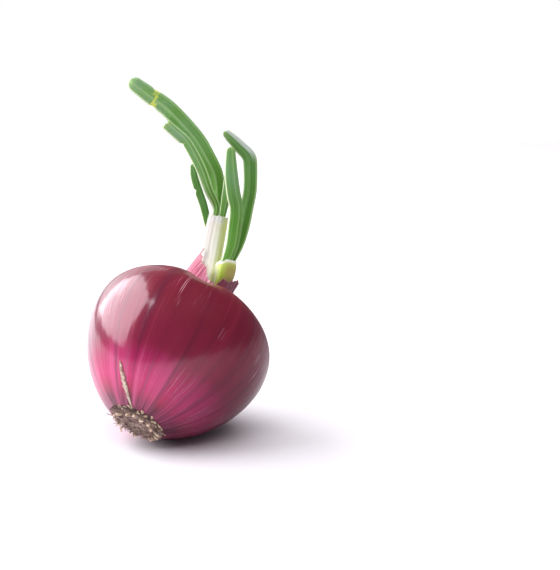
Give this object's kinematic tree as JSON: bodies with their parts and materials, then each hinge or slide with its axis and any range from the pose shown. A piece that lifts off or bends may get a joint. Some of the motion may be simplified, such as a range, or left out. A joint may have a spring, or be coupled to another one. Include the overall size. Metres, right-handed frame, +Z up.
{
  "type": "sprouting red onion",
  "caption": "Whole red onion lying on its side, with a papery neck, green sprouts, a pale leaf sheath and a dry root plate.",
  "frame": {"origin": "centre of the small flat spot that the bulb rests on", "axes": "+Z up, away from the surface; +Y away from a viewer who sees the root end low on the left and the neck at the top right; +X to that viewer's right"},
  "size_m": [0.0761, 0.0895, 0.1441],
  "materials": {
    "onion_skin": "thin glossy dry skin, wine red at the crown to magenta below, fine pale lines from neck to root",
    "neck_paper": "translucent pink papery skin with paler veins",
    "root_disc": "dry fibrous grey-brown disc",
    "root_fibre": "dry cream to tan curled roots",
    "sheath_white": "satin white leaf base, yellow-green to one side",
    "stub_green": "satin yellow-green leaf base with a white cut rim",
    "leaf_green": "satin green leaf with a bluish bloom, ribbed lengthwise, pale edges"
  },
  "bodies": {
    "root": {"bulb": "onion_skin", "neck_skin": "neck_paper", "root_plate": "root_disc", "white_sheath": "sheath_white", "green_stub": "stub_green", "leaf_long": "leaf_green", "leaf_broken": "leaf_green", "leaf_thin": "leaf_green", "leaf_short": "leaf_green", "leaf_front": "leaf_green", "leaf_bent": "leaf_green", "root_01": "root_fibre", "root_02": "root_fibre", "root_03": "root_fibre", "root_04": "root_fibre", "root_05": "root_fibre", "root_06": "root_fibre", "root_07": "root_fibre", "root_08": "root_fibre", "root_09": "root_fibre", "root_10": "root_fibre", "root_11": "root_fibre", "root_12": "root_fibre", "root_13": "root_fibre", "root_14": "root_fibre", "root_15": "root_fibre", "root_16": "root_fibre", "root_17": "root_fibre", "root_18": "root_fibre"}
  },
  "joints": []
}
